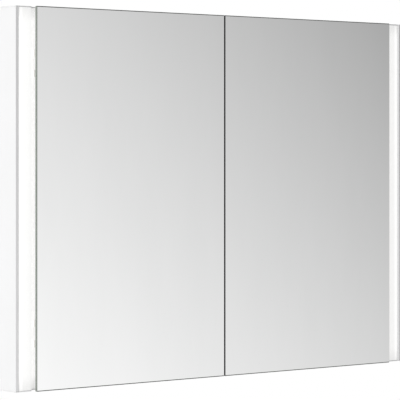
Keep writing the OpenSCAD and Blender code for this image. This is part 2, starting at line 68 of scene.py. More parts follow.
# ---------------------------------------------------------------- material tools
class Finish:
    """One procedural material: a Principled shader and short calls that add nodes to it."""

    def __init__(self, name, **constants):
        self.material = bpy.data.materials.new(name)
        self.material.use_nodes = True
        self.nodes = self.material.node_tree.nodes
        self.links = self.material.node_tree.links
        self.nodes.clear()
        self.output = self.nodes.new("ShaderNodeOutputMaterial")
        self.shader = self.nodes.new("ShaderNodeBsdfPrincipled")
        self.links.new(self.shader.outputs[0], self.output.inputs[0])
        for socket, value in constants.items():
            self.shader.inputs[socket.replace("_", " ")].default_value = value
        self.place = self.nodes.new("ShaderNodeTexCoord").outputs["Object"]

    def add(self, kind, *inputs, **settings):
        node = self.nodes.new(kind)
        for key, value in settings.items():
            setattr(node, key, value)
        for i, value in enumerate(inputs):
            self.feed(node.inputs[i], value)
        return node

    def feed(self, socket, value):
        if value is None:
            return
        if isinstance(value, bpy.types.NodeSocket):
            self.links.new(value, socket)
        else:
            socket.default_value = value

    def stretched(self, scale):
        node = self.add("ShaderNodeMapping", self.place)
        node.inputs["Scale"].default_value = scale
        return node.outputs[0]

    def noise(self, frequency, detail, roughness, scale=(1, 1, 1)):
        node = self.add("ShaderNodeTexNoise", self.stretched(scale))
        node.inputs["Scale"].default_value = frequency
        node.inputs["Detail"].default_value = detail
        node.inputs["Roughness"].default_value = roughness
        return node.outputs["Fac"]

    def fit(self, value, low, high, to_low=0.0, to_high=1.0, curve="LINEAR"):
        """Maps low..high to to_low..to_high, and holds the value beyond them."""
        node = self.add("ShaderNodeMapRange", value, low, high, to_low, to_high,
                        interpolation_type=curve)
        return node.outputs[0]

    def maths(self, operation, *values):
        return self.add("ShaderNodeMath", *values, operation=operation).outputs[0]

    def blend(self, factor, a, b):
        node = self.add("ShaderNodeMix", data_type="RGBA")
        self.feed(node.inputs["Factor"], factor)
        self.feed(node.inputs[6], a)
        self.feed(node.inputs[7], b)
        return node.outputs[2]

    def axis(self, name):
        return self.add("ShaderNodeSeparateXYZ", self.place).outputs[name]

    def colour(self, value):
        self.feed(self.shader.inputs["Base Color"], value)

    def rough(self, value):
        self.feed(self.shader.inputs["Roughness"], value)

    def bump(self, height, depth, strength=1.0):
        node = self.add("ShaderNodeBump")
        node.inputs["Strength"].default_value = strength
        node.inputs["Distance"].default_value = depth
        self.feed(node.inputs["Height"], height)
        self.feed(self.shader.inputs["Normal"], node.outputs[0])


def grey(level):
    return (level, level, level, 1)


def scaled(tone, factor=1.0):
    """A tone (r, g, b) times a factor, as an opaque colour."""
    return tuple(min(1.0, c * factor) for c in tone) + (1,)


# ---------------------------------------------------------------- materials
def anodised(name, tone, grain=(1, 1, 0.02), roughness=0.28, streak=0.03):
    """Satin anodised aluminium: fine drawing lines along the profile, soft handling marks, tiny pits.
    grain is the noise's scale along X, Y and Z, lowest along the lines.
    streak is how much darker a line is."""
    finish = Finish(name, Metallic=1.0)
    lines = finish.noise(2600.0, 2.0, 0.6, grain)
    cloud = finish.noise(9.0, 4.0, 0.6)
    pits = finish.noise(1500.0, 2.0, 0.7)
    dull = (tone[0] * (1 - streak), tone[1] * (1 - streak), tone[2] * (1 - streak * 0.8), 1)
    finish.colour(finish.blend(finish.fit(lines, 0.35, 0.65), dull, scaled(tone)))
    worn = finish.fit(cloud, 0.3, 0.75, roughness - 0.03, roughness + 0.04)
    finish.rough(finish.maths("ADD", worn, finish.fit(lines, 0.3, 0.7, -0.03, 0.03)))
    finish.bump(finish.maths("ADD", lines, finish.fit(pits, 0.62, 0.72, 0.0, -0.6)), 0.00002, 0.5)
    return finish.material


def mirror_face(name):
    """Silvered glass: almost perfect, with the faint haze of a wiped surface in its roughness."""
    finish = Finish(name, Metallic=1.0)
    wipe = finish.noise(14.0, 5.0, 0.65, (1, 1, 0.25))
    dust = finish.noise(700.0, 2.0, 0.5)
    clean, hazy = (0.925, 0.927, 0.926, 1), (0.905, 0.908, 0.907, 1)
    finish.colour(finish.blend(finish.fit(wipe, 0.3, 0.8), clean, hazy))
    haze = finish.fit(wipe, 0.45, 0.9, 0.008, 0.03)
    finish.rough(finish.maths("ADD", haze, finish.fit(dust, 0.66, 0.8, 0.0, 0.03)))
    return finish.material


def glass_edge(name, tone, roughness=0.22, shaded_gap=False):
    """Ground and polished glass edge: grey-green, with grinding marks and a tone that drifts along it.
    Given True as its last argument, the edge turns near-black within about 5 mm of the middle, where the
    two doors meet: painted shade for the narrow gap."""
    finish = Finish(name, Coat_Weight=0.35, Coat_Roughness=0.08, IOR=1.5)
    grind = finish.noise(900.0, 3.0, 0.6)
    depth = finish.noise(60.0, 3.0, 0.5, (1, 1, 0.1))
    deep = (tone[0] * 0.78, tone[1] * 0.84, tone[2] * 0.8, 1)
    light = (tone[0] * 1.1, tone[1] * 1.08, tone[2] * 1.1, 1)
    glass = finish.blend(finish.fit(depth, 0.3, 0.7), deep, light)
    # painted shade: the edges by the middle, in the gap between the two doors, turn near-black
    if shaded_gap:
        from_middle = finish.maths("ABSOLUTE", finish.axis("X"))
        gap_shade_mask = finish.fit(from_middle, 4 * MM, 6 * MM, 1.0, 0.0)
        painted_gap_shade = (0.012, 0.013, 0.013, 1)
        glass = finish.blend(gap_shade_mask, glass, painted_gap_shade)
    finish.colour(glass)
    finish.rough(finish.fit(grind, 0.3, 0.7, roughness - 0.08, roughness + 0.12))
    finish.bump(grind, 0.00003, 0.4)
    return finish.material


def opal(name):
    """Lit opal acrylic. An outer band over the diodes is brightest, and painted shade dims the edge by the
    lip.
    Both ends fade, the band only beyond the last diode. Painted light brightens the groove and the left
    strip."""
    top, outer = DIFFUSER_HIGH.z, DIFFUSER_HIGH.x
    band_edge, band_blur = outer - 13 * MM, 2 * MM
    lip_edge, lip_blur = outer - 4.7 * MM, 4 * MM
    groove_width = 6 * MM
    lit_end, last_chip = top - 30 * MM, top - 20 * MM
    flat_level, band_level = 0.46, 0.56
    shade_level, shade_at_end = -0.1, -0.3
    groove_painted_light, left_painted_light = 0.18, 0.07
    end_level, chip_level = 0.77, 0.85

    finish = Finish(name, IOR=1.49, Coat_Weight=0.15, Coat_Roughness=0.2)
    across = finish.maths("ABSOLUTE", finish.axis("X"))
    up = finish.maths("ABSOLUTE", finish.axis("Z"))
    band = finish.fit(across, band_edge - band_blur, band_edge + band_blur, 0.0, 1.0, "SMOOTHSTEP")
    fade = finish.fit(up, lit_end, top, 1.0, 0.0, "SMOOTHSTEP")
    band_fade = finish.fit(up, last_chip, top, chip_level, 0.0)
    fade = finish.maths("MAXIMUM", fade, finish.maths("MULTIPLY", band, band_fade))
    groove = finish.fit(across, DOOR_EDGE_X, DOOR_EDGE_X + groove_width, 1.0, 0.0)
    cloud = finish.noise(40.0, 3.0, 0.5)
    grain = finish.noise(1800.0, 2.0, 0.5)
    warm, cool = (0.60, 0.60, 0.595, 1), (0.62, 0.62, 0.62, 1)
    finish.colour(finish.blend(finish.fit(cloud, 0.3, 0.7), warm, cool))
    finish.rough(finish.fit(grain, 0.3, 0.7, 0.38, 0.5))
    finish.bump(grain, 0.00002, 0.3)
    lip_shade = finish.fit(up, lit_end, top, shade_level, shade_at_end)
    by_lip = finish.maths("MULTIPLY", finish.fit(across, lip_edge - lip_blur, lip_edge), lip_shade)
    # painted light: extra glow in the groove, where the door shades the foot of the diffuser
    painted_groove_light = finish.fit(finish.maths("MULTIPLY", groove, fade), 0.0, 1.0, 0.0, groove_painted_light)
    # painted light: the whole left strip glows a little more than the right one
    painted_left_light = finish.fit(finish.axis("X"), -10 * MM, 10 * MM, left_painted_light, 0.0)
    front_glow = finish.fit(band, 0.0, 1.0, flat_level, band_level)
    for change in (painted_groove_light, by_lip, painted_left_light):
        front_glow = finish.maths("ADD", front_glow, change)
    glow = finish.maths("MULTIPLY", finish.fit(fade, 0.0, 1.0, end_level, 1.0), front_glow)
    finish.shader.inputs["Emission Color"].default_value = (1.0, 0.995, 0.985, 1)
    finish.feed(finish.shader.inputs["Emission Strength"], glow)
    return finish.material


def plastic(name, tone, roughness=0.42, texture=420.0, depth=0.00005):
    """Moulded plastic: spark-eroded grain, slight tone drift, rubbed high spots."""
    finish = Finish(name, IOR=1.49)
    grain = finish.noise(texture, 3.0, 0.6)
    drift = finish.noise(12.0, 3.0, 0.5)
    finish.colour(finish.blend(finish.fit(drift, 0.3, 0.7), scaled(tone, 0.93), scaled(tone, 1.03)))
    finish.rough(finish.fit(grain, 0.3, 0.7, roughness - 0.07, roughness + 0.1))
    finish.bump(grain, depth, 0.45)
    return finish.material


def circuit_board(name, tone, copper):
    """Solder mask with faint raised tracks under it and tinned patches."""
    finish = Finish(name, Coat_Weight=0.3, Coat_Roughness=0.15, IOR=1.5)
    tracks = finish.add("ShaderNodeTexBrick", finish.place)
    tracks.inputs["Scale"].default_value = 90.0
    tracks.inputs["Mortar Size"].default_value = 0.03
    weave = finish.noise(1200.0, 2.0, 0.5)
    raised = finish.fit(tracks.outputs["Fac"], 0.0, 1.0, 1.0, 0.0)
    finish.colour(finish.blend(raised, tone, copper))
    finish.rough(finish.fit(weave, 0.3, 0.7, 0.3, 0.45))
    finish.bump(finish.maths("ADD", raised, finish.maths("MULTIPLY", weave, 0.3)), 0.00004, 0.5)
    return finish.material


def foam(name, tone):
    """Closed-cell foam tape: open cut cells on its faces."""
    finish = Finish(name, Roughness=0.9)
    cells = finish.add("ShaderNodeTexVoronoi", finish.place)
    cells.inputs["Scale"].default_value = 1400.0
    depth = cells.outputs["Distance"]
    # painted shade: the hollows of the cells are darker than their rims
    finish.colour(finish.blend(finish.fit(depth, 0.1, 0.6), scaled(tone, 0.55), scaled(tone)))
    finish.bump(depth, 0.0002, 0.7)
    return finish.material


def plated_steel(name, tone, roughness=0.16, frequency=500.0):
    """Nickel or zinc plate: bright, with fine tumbling marks and a slightly cloudy passivation."""
    finish = Finish(name, Metallic=1.0)
    marks = finish.noise(frequency, 4.0, 0.65)
    cloud = finish.noise(35.0, 4.0, 0.6)
    finish.colour(finish.blend(finish.fit(cloud, 0.3, 0.7), scaled(tone, 0.86), scaled(tone)))
    finish.rough(finish.fit(marks, 0.3, 0.7, roughness - 0.05, roughness + 0.09))
    finish.bump(marks, 0.00002, 0.35)
    return finish.material


def turned_metal(name, tone, roughness=0.2):
    """Faced and anodised button caps: fine concentric tool marks round each button's own centre."""
    finish = Finish(name, Metallic=1.0)
    low_a, high_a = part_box("power_button")
    low_b, high_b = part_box("colour_button")
    centre_a, centre_b = (low_a.x + high_a.x) / 2, (low_b.x + high_b.x) / 2
    middle, apart = (centre_a + centre_b) / 2, abs(centre_a - centre_b) / 2
    from_middle = finish.maths("ABSOLUTE", finish.maths("SUBTRACT", finish.axis("X"), middle))
    dx = finish.maths("SUBTRACT", from_middle, apart)
    dy = finish.maths("SUBTRACT", finish.axis("Y"), (low_a.y + high_a.y) / 2)
    square = finish.maths("ADD", finish.maths("MULTIPLY", dx, dx), finish.maths("MULTIPLY", dy, dy))
    radius = finish.maths("SQRT", square)
    ring_pitch = 0.22 * MM
    rings = finish.maths("SINE", finish.maths("MULTIPLY", radius, 2 * math.pi / ring_pitch))
    grain = finish.noise(1500.0, 3.0, 0.6)
    finish.colour(finish.blend(finish.fit(rings, -1.0, 1.0), scaled(tone, 0.88), scaled(tone)))
    finish.rough(finish.fit(grain, 0.3, 0.7, roughness - 0.04, roughness + 0.06))
    finish.bump(finish.maths("ADD", rings, finish.maths("MULTIPLY", grain, 0.4)), 0.00001, 0.6)
    return finish.material


def clear_glass(name):
    """Float glass shelf: clear with a breath of green, wiped surface."""
    finish = Finish(name, Transmission_Weight=0.92, IOR=1.5)
    wipe = finish.noise(22.0, 4.0, 0.6)
    green, clear = (0.90, 0.955, 0.93, 1), (0.93, 0.97, 0.95, 1)
    finish.colour(finish.blend(finish.fit(wipe, 0.3, 0.7), green, clear))
    finish.rough(finish.fit(wipe, 0.4, 0.9, 0.005, 0.05))
    return finish.material


def silicone(name):
    """Translucent silicone: soft, slightly dusty."""
    finish = Finish(name, IOR=1.41, Subsurface_Weight=0.3, Sheen_Weight=0.2)
    dust = finish.noise(600.0, 3.0, 0.6)
    clean, dusty = (0.80, 0.82, 0.83, 1), (0.70, 0.72, 0.73, 1)
    finish.colour(finish.blend(finish.fit(dust, 0.4, 0.7), clean, dusty))
    finish.rough(finish.fit(dust, 0.3, 0.7, 0.35, 0.55))
    finish.bump(dust, 0.00003, 0.4)
    return finish.material


def phosphor(name):
    """Yellow phosphor dome of a white diode, lit from inside."""
    finish = Finish(name, IOR=1.45, Coat_Weight=0.6, Coat_Roughness=0.05)
    grain = finish.noise(2500.0, 2.0, 0.5)
    deep, pale = (0.95, 0.78, 0.22, 1), (0.98, 0.86, 0.36, 1)
    finish.colour(finish.blend(finish.fit(grain, 0.3, 0.7), deep, pale))
    finish.rough(finish.fit(grain, 0.3, 0.7, 0.2, 0.35))
    finish.shader.inputs["Emission Color"].default_value = (1.0, 0.93, 0.75, 1)
    finish.shader.inputs["Emission Strength"].default_value = 0.8
    return finish.material


LOOKS = {
    "anodised": anodised("anodised", (0.74, 0.75, 0.76), (1, 1, 0.02), 0.30),
    "frame_silver": anodised("frame_silver", (0.735, 0.736, 0.737), (1, 1, 0.015), 0.38, 0.02),
    "back_sheet": anodised("back_sheet", (0.70, 0.71, 0.72), (0.02, 1, 1), 0.42, 0.08),
    "button_metal": turned_metal("button_metal", (0.80, 0.80, 0.81)),
    "mirror_glass": mirror_face("mirror_glass"),
    "glass_edge": glass_edge("glass_edge", (0.55, 0.60, 0.54), 0.22, True),
    # near-black tone on every arris: a painted dark reflection along the mirrors' edges
    "glass_arris": glass_edge("glass_arris", (0.034, 0.041, 0.034), 0.3, True),
    "shelf_glass": clear_glass("shelf_glass"),
    "shelf_edge": glass_edge("shelf_edge", (0.20, 0.42, 0.33), 0.12),
    "opal": opal("opal"),
    "foam": foam("foam", (0.42, 0.43, 0.44)),
    "circuit_white": circuit_board("circuit_white", (0.86, 0.86, 0.84, 1), (0.74, 0.74, 0.71, 1)),
    "circuit_green": circuit_board("circuit_green", (0.02, 0.19, 0.08, 1), (0.05, 0.30, 0.14, 1)),
    "led": phosphor("led"),
    "ivory_plastic": plastic("ivory_plastic", (0.82, 0.81, 0.76)),
    "dark_plastic": plastic("dark_plastic", (0.025, 0.025, 0.028), 0.4),
    "lead_sheath": plastic("lead_sheath", (0.78, 0.78, 0.75), 0.5, 900.0, 0.00003),
    "bright_steel": plated_steel("bright_steel", (0.80, 0.79, 0.77)),
    "screw_steel": plated_steel("screw_steel", (0.62, 0.63, 0.65), 0.26, 1200.0),
    "brass": plated_steel("brass", (0.78, 0.62, 0.30), 0.24, 900.0),
    "silicone": silicone("silicone"),
    "film": plastic("film", (0.045, 0.05, 0.05), 0.5),
}


for entry in frame["record"]["subparts"]:
    node_materials = frame["nodes"][entry["node"]].data.materials
    node_materials.clear()
    node_materials.append(LOOKS[entry["material_slot"]])


# ---------------------------------------------------------------- mesh tools
def finish_mesh(name, mesh, looks, body, replaced=()):
    """Turns a bmesh into a piece that rides on a body and takes the finish of a slot."""
    bmesh.ops.recalc_face_normals(mesh, faces=mesh.faces)
    data = bpy.data.meshes.new(name)
    mesh.to_mesh(data)
    mesh.free()
    for look in looks:
        data.materials.append(LOOKS[look])
    piece = bpy.data.objects.new(name, data)
    bpy.context.scene.collection.objects.link(piece)
    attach(piece, body)
    if replaced:
        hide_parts(*replaced)
    return piece


def rounded_corner_points(low, high, radius, steps):
    """Points of a rectangle with round corners, anticlockwise from the lower right corner."""
    points = []
    centres = [
        (high[0] - radius, low[1] + radius, -90), (high[0] - radius, high[1] - radius, 0),
        (low[0] + radius, high[1] - radius, 90), (low[0] + radius, low[1] + radius, 180),
    ]
    for cx, cy, start in centres:
        for i in range(steps + 1):
            turn = math.radians(start + 90 * i / steps)
            points.append((cx + radius * math.cos(turn), cy + radius * math.sin(turn)))
    return points


def stack_rings(mesh, rings, slots, cap_slots):
    """Joins rings of equal length with faces, and closes the first and the last."""
    loops = [[mesh.verts.new(p) for p in ring] for ring in rings]
    count = len(loops[0])
    for a, b, slot in zip(loops, loops[1:], slots):
        for i in range(count):
            face = mesh.faces.new((a[i], a[(i + 1) % count], b[(i + 1) % count], b[i]))
            face.material_index = slot
    for loop, slot in ((loops[0], cap_slots[0]), (loops[-1], cap_slots[1])):
        mesh.faces.new(loop).material_index = slot


def glass_pane(name, node, body, arris, corner, looks, faces):
    """A sheet of glass in the space of a CAD pane: ground edges, an arris at both faces, eased corners.
    arris holds the front and the rear one, each as its width on the upright edges and on the level ones.
    looks are the materials, and faces their numbers for the front, the arrises, the edge and the rear."""
    low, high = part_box(node)
    corner_steps = 6
    slope = 0.8                                   # depth of an arris for its width on the level edges
    deepest = slope * (high.y - low.y) / 2

    def ring(y, inset):
        flat = rounded_corner_points((low.x + inset[0], low.z + inset[1]),
                                     (high.x - inset[0], high.z - inset[1]), corner, corner_steps)
        return [(x, y, z) for x, z in flat]

    front_arris, rear_arris = arris
    front_depth = min(deepest, slope * front_arris[1])
    rear_depth = min(deepest, slope * rear_arris[1])
    rings = [
        ring(low.y, front_arris), ring(low.y + front_depth, (0, 0)),
        ring(high.y - rear_depth, (0, 0)), ring(high.y, rear_arris),
    ]
    mesh = bmesh.new()
    stack_rings(mesh, rings, (faces[1], faces[2], faces[1]), (faces[0], faces[3]))
    return finish_mesh(name, mesh, looks, body, (node,))


def weld(piece, distance):
    """Joins points closer than a distance, so that the mesh stays closed."""
    piece.modifiers.new("weld", "WELD").merge_threshold = distance


def soften(node, width, segments):
    """Eases the sharp edges of a CAD node by a bevel on top of its mesh."""
    piece = frame["nodes"][node]
    join = 0.001 * MM
    weld(piece, join)
    flat = piece.modifiers.new("flat", "DECIMATE")
    flat.decimate_type = "DISSOLVE"
    flat.angle_limit = math.radians(0.5)
    bevel = piece.modifiers.new("bevel", "BEVEL")
    bevel.width = width
    bevel.segments = segments
    bevel.limit_method = "ANGLE"
    bevel.angle_limit = math.radians(35)
    weld(piece, 2 * join)
    even = piece.modifiers.new("even", "WEIGHTED_NORMAL")
    even.mode = "FACE_AREA"
    even.keep_sharp = True


# ---------------------------------------------------------------- doors and mirrors
PANE_LOOKS = ("mirror_glass", "glass_arris", "glass_edge", "film")
VISIBLE_ARRIS = (0.4 * MM, 1.7 * MM)
HIDDEN_ARRIS = (0.25 * MM, 0.25 * MM)
INNER_ARRIS = (0.8 * MM, 0.8 * MM)
DOOR_CORNER = 0.4 * MM


def door_glass(side):
    body = side + "_door"
    front = "door_" + side + "_front_pane"
    rear = "door_" + side + "_rear_pane"
    glass_pane("mirror_front_" + side, front, body, (VISIBLE_ARRIS, HIDDEN_ARRIS), DOOR_CORNER,
               PANE_LOOKS, (0, 1, 2, 3))
    glass_pane("mirror_rear_" + side, rear, body, (HIDDEN_ARRIS, VISIBLE_ARRIS), DOOR_CORNER,
               PANE_LOOKS, (3, 1, 2, 0))


for side_name in SIDES:
    door_glass(side_name)
    glass_pane("inner_mirror_" + side_name, "back_mirror_" + side_name, "cabinet",
               (INNER_ARRIS, HIDDEN_ARRIS), 1.0 * MM, PANE_LOOKS, (0, 1, 2, 3))


# ---------------------------------------------------------------- shelves
def glass_shelf(side, level):
    """A shelf with round corners and a polished, crowned edge all about."""
    node = "shelf_" + side + "_" + level
    low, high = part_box(node)
    middle, half = (low.z + high.z) / 2, (high.z - low.z) / 2
    crown_steps = corner_steps = 8
    corner = 6 * MM
    bulge = 1.4 * MM
    rings = []
    for i in range(crown_steps + 1):
        turn = math.pi * (i / crown_steps - 0.5)
        inset = bulge * (1 - math.cos(turn))
        z = middle + half * math.sin(turn)
        flat = rounded_corner_points((low.x + inset, low.y + inset), (high.x - inset, high.y - inset),
                                     corner, corner_steps)
        rings.append([(x, y, z) for x, y in flat])
    mesh = bmesh.new()
    stack_rings(mesh, rings, (1,) * crown_steps, (0, 0))
    piece = finish_mesh("glass_" + node, mesh, ("shelf_glass", "shelf_edge"), "cabinet",
                        (node,))
    for face in piece.data.polygons:
        face.use_smooth = face.material_index == 1


for side_name in SIDES:
    for shelf_level in ("upper", "lower"):
        glass_shelf(side_name, shelf_level)


# ---------------------------------------------------------------- turned pieces
AXES = {
    "+X": (Vector((1, 0, 0)), Vector((0, 1, 0)), Vector((0, 0, 1))),
    "-X": (Vector((-1, 0, 0)), Vector((0, 0, 1)), Vector((0, 1, 0))),
    "-Y": (Vector((0, -1, 0)), Vector((1, 0, 0)), Vector((0, 0, 1))),
    "+Z": (Vector((0, 0, 1)), Vector((1, 0, 0)), Vector((0, 1, 0))),
}


def turned(mesh, profile, centre, axis="+Z", steps=48, look=0, ring=False):
    """Turns a profile of (radius, height) in millimetres round an axis.
    ring joins its last point to its first."""
    along, across, up = AXES[axis]
    base = Vector(centre)
    loops = []
    for radius, height in profile:
        middle = base + along * height * MM
        if radius == 0:
            loops.append([mesh.verts.new(middle)])
            continue
        loop = []
        for i in range(steps):
            turn = 2 * math.pi * i / steps
            outward = across * math.cos(turn) + up * math.sin(turn)
            loop.append(mesh.verts.new(middle + outward * radius * MM))
        loops.append(loop)
    pairs = list(zip(loops, loops[1:]))
    if ring:
        pairs.append((loops[-1], loops[0]))
    for a, b in pairs:
        for i in range(steps):
            j = (i + 1) % steps
            corners = [a[i % len(a)], a[j % len(a)], b[j % len(b)], b[i % len(b)]]
            corners = [v for k, v in enumerate(corners) if v not in corners[:k]]
            mesh.faces.new(corners).material_index = look


def brick(mesh, low, high, ease, look=0):
    """A block with its edges and corners eased."""
    corners = [[low[i] + ease, high[i] - ease] for i in range(3)]
    made = []
    for x in (0, 1):
        for y in (0, 1):
            for z in (0, 1):
                point = Vector((corners[0][x], corners[1][y], corners[2][z]))
                for axis in range(3):
                    moved = point.copy()
                    moved[axis] += ease * (1 if (x, y, z)[axis] else -1)
                    made.append(mesh.verts.new(moved))
    hull = bmesh.ops.convex_hull(mesh, input=made)
    for item in hull["geom"]:
        if isinstance(item, bmesh.types.BMFace):
            item.material_index = look


def shade(piece, angle=32):
    """Smooth shading, with edges sharper than the angle kept."""
    for face in piece.data.polygons:
        face.use_smooth = True
    piece.data.set_sharp_from_angle(angle=math.radians(angle))


def push_button(node, body):
    """A turned cap with a dished face and a rounded rim, its flange behind the collar, and its stem."""
    low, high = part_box(node)
    centre = ((low.x + high.x) / 2, (low.y + high.y) / 2, low.z)
    top = (high.z - low.z) / MM
    mesh = bmesh.new()
    dish_and_rim = [(0, 0.5), (2.4, 0.44), (4.4, 0.22), (5.3, 0.04), (5.6, 0), (6.0, 0.02),
                    (6.35, 0.14), (6.55, 0.38), (6.6, 0.7), (6.6, 3.1)]
    flange = [(8.0, 3.1), (8.2, 3.3), (8.2, 4.1), (8.0, 4.3)]
    stem = [(1.8, 4.3), (1.8, top - 0.2), (1.6, top), (0, top)]
    turned(mesh, dish_and_rim + flange + stem, centre, "+Z", 64)
    shade(finish_mesh("turned_" + node, mesh, ("button_metal",), body, (node,)))


push_button("power_button", "power_button_body")
push_button("colour_button", "colour_button_body")


def bumpers():
    """Silicone domes that the doors close on."""
    low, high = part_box("door_bumpers")
    reach = (high.y - low.y) / MM
    radius = 4
    from_middle, from_wall = 40 * MM, 80 * MM
    wall_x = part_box("box_side_right")[0].x
    dome = [(0, 0), (radius, 0), (radius, 0.5), (3.85, 1.1), (3.4, 1.7),
            (2.7, reach - 0.15), (1.6, reach - 0.03), (0, reach)]
    mesh = bmesh.new()
    for x in (from_middle, wall_x - from_wall):
        for side in (-1, 1):
            for z in (low.z + radius * MM, high.z - radius * MM):
                turned(mesh, dome, (side * x, high.y, z), "-Y", 32)
    bumper = finish_mesh("bumper_domes", mesh, ("silicone",), "cabinet", ("door_bumpers",))
    shade(bumper, 50)


bumpers()


def shelf_supports():
    """Turned pins with a chamfered tip and a collar, and a flat tongue under each shelf."""
    low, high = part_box("shelf_pins")
    wall_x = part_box("box_side_right")[0].x
    divider_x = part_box("centre_divider")[1].x
    half_width, half_thick, ease = 4 * MM, 1.5 * MM, 0.4 * MM
    root, tip = 0.8 * MM, 9 * MM
    collar_and_pin = [(0, -1), (3.7, -1), (4, -0.75), (4, -0.15), (3.85, 0),
                      (2.5, 0), (2.5, 5.3), (2.0, 6), (0, 6)]
    mesh = bmesh.new()
    for level in ("upper", "lower"):
        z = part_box("shelf_right_" + level)[0].z - half_thick
        for side in (-1, 1):
            for y in (low.y + half_width, high.y - half_width):
                for face_x, inward in ((wall_x, -1), (divider_x, 1)):
                    axis = "+X" if side * inward < 0 else "-X"
                    turned(mesh, collar_and_pin, (side * face_x, y, z), axis, 32)
                    ends = sorted((side * (face_x + inward * root), side * (face_x + inward * tip)))
                    brick(mesh, (ends[0], y - half_width, z - half_thick),
                          (ends[1], y + half_width, z + half_thick), ease)
    shade(finish_mesh("turned_shelf_pins", mesh, ("bright_steel",), "cabinet",
                      ("shelf_pins",)))


shelf_supports()


def hinge_pin(side):
    """Ground pins with a chamfered foot and a domed head."""
    node = "hinge_pins_" + side
    low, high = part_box(node)
    centre_x, centre_y = (low.x + high.x) / 2, (low.y + high.y) / 2
    arms_low, arms_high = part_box("hinge_arms_" + side)
    length = 50                                   # mm, from an arm's foot to the head
    shank = [(0, 0), (1.6, 0), (2, 0.4), (2, length)]
    head = [(3.2, length), (3.4, length + 0.25), (3.3, length + 0.7),
            (2.6, length + 1.2), (1.4, length + 1.45), (0, length + 1.5)]
    mesh = bmesh.new()
    for foot in (arms_low.z, arms_high.z - length * MM):
        turned(mesh, shank + head, (centre_x, centre_y, foot), "+Z", 32)
    shade(finish_mesh("turned_" + node, mesh, ("bright_steel",), "cabinet", (node,)))


for side_name in SIDES:
    hinge_pin(side_name)


def cable_gland():
    """Hexagon head with chamfers, a thread above the nut and a bore that is left open."""
    low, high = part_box("cable_gland")
    centre = ((low.x + high.x) / 2, (low.y + high.y) / 2, low.z)
    height = (high.z - low.z) / MM
    bore, root, crest = 4, 7.4, 8
    head_top, thread_from, pitch, groove = 6, 18.5, 1.0, 0.7
    mesh = bmesh.new()
    turned(mesh, [(bore, 0), (11, 0), (12, 0.8), (12, 5.4), (11.4, head_top), (bore, head_top)],
           centre, "+Z", 6, 0, True)
    shank = [(bore, head_top), (crest, head_top)]
    z = thread_from
    while z < height - pitch:
        shank += [(crest, z), (root, z + groove / 2), (crest, z + groove)]
        z += pitch
    shank += [(root, height), (bore + 0.4, height), (bore, height - 0.4)]
    turned(mesh, shank, centre, "+Z", 48, 0, True)
    shade(finish_mesh("moulded_gland", mesh, ("dark_plastic",), "cabinet",
                      ("cable_gland",)))

    low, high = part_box("gland_nut")
    nut_bore = crest + 0.05
    mesh = bmesh.new()
    turned(mesh, [(nut_bore, 0), (11.2, 0), (12, 0.7), (12, 4.3), (11.2, 5), (nut_bore, 5)],
           (centre[0], centre[1], low.z), "+Z", 6, 0, True)
    shade(finish_mesh("moulded_nut", mesh, ("dark_plastic",), "cabinet",
                      ("gland_nut",)))


cable_gland()


def diodes(side):
    """White packages with a phosphor dome each, at the pitch of the board."""
    node = "led_chips_" + side
    low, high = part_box(node)
    half = (high.x - low.x) / 2
    count, pitch = 33, 20 * MM
    face_y = low.y + 0.3 * (high.y - low.y)       # the front 0.3 of the depth is left to the dome
    dome = [(0, -0.1), (1.2, -0.1), (1.2, 0), (1.15, 0.1), (0.9, 0.18), (0.5, 0.23), (0, 0.24)]
    mesh = bmesh.new()
    for i in range(count):
        z = low.z + half + i * pitch
        brick(mesh, (low.x, face_y, z - half), (high.x, high.y, z + half), 0.1 * MM, 1)
        turned(mesh, dome, (low.x + half, face_y, z), "-Y", 16, 0)
    chips = finish_mesh("domed_" + node, mesh, ("led", "ivory_plastic"), "cabinet", (node,))
    shade(chips, 45)


for side_name in SIDES:
    diodes(side_name)


def profile_plugs():
    """Moulded plugs in the open ends of the hollow side panels, set back a little."""
    low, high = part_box("box_side_right")
    skin = 2 * MM
    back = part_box("back_panel")[0].y
    chambers = 3
    pitch = (back - low.y - skin) / chambers
    slack, set_back, depth, ease = 0.15 * MM, 0.3 * MM, 6 * MM, 0.3 * MM
    mesh = bmesh.new()
    for side in (-1, 1):
        ends = sorted((side * (low.x + skin + slack), side * (high.x - skin - slack)))
        for i in range(chambers):
            y0 = low.y + skin + i * pitch + slack
            y1 = y0 + pitch - skin - 2 * slack
            for up in (-1, 1):
                outer = up * (high.z - set_back)
                zs = sorted((outer, outer - up * depth))
                brick(mesh, (ends[0], y0, zs[0]), (ends[1], y1, zs[1]), ease)
    shade(finish_mesh("profile_plugs", mesh, ("ivory_plastic",), "cabinet"))


profile_plugs()


def terminals():
    """Slotted brass screws in the wells of the terminal block."""
    low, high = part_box("terminal_block")
    wells, first, pitch, behind = 3, 5 * MM, 10 * MM, 5 * MM
    half_slot, reach, half_width = 0.35 * MM, 1.75 * MM, 1.2 * MM
    head_from, head_to, ease = 1.4 * MM, 3.4 * MM, 0.15 * MM
    shank = [(0, 2.2), (1.8, 2.2), (1.8, 3.9), (0, 3.9)]
    y = (low.y + high.y) / 2 + behind
    mesh = bmesh.new()
    for i in range(wells):
        x = low.x + first + i * pitch
        for half in (-1, 1):
            ends = sorted((y + half * half_slot, y + half * reach))
            brick(mesh, (x - half_width, ends[0], low.z + head_from),
                  (x + half_width, ends[1], low.z + head_to), ease)
        turned(mesh, shank, (x, y, low.z), "+Z", 24)
    shade(finish_mesh("terminal_screws", mesh, ("brass",), "cabinet"))


terminals()


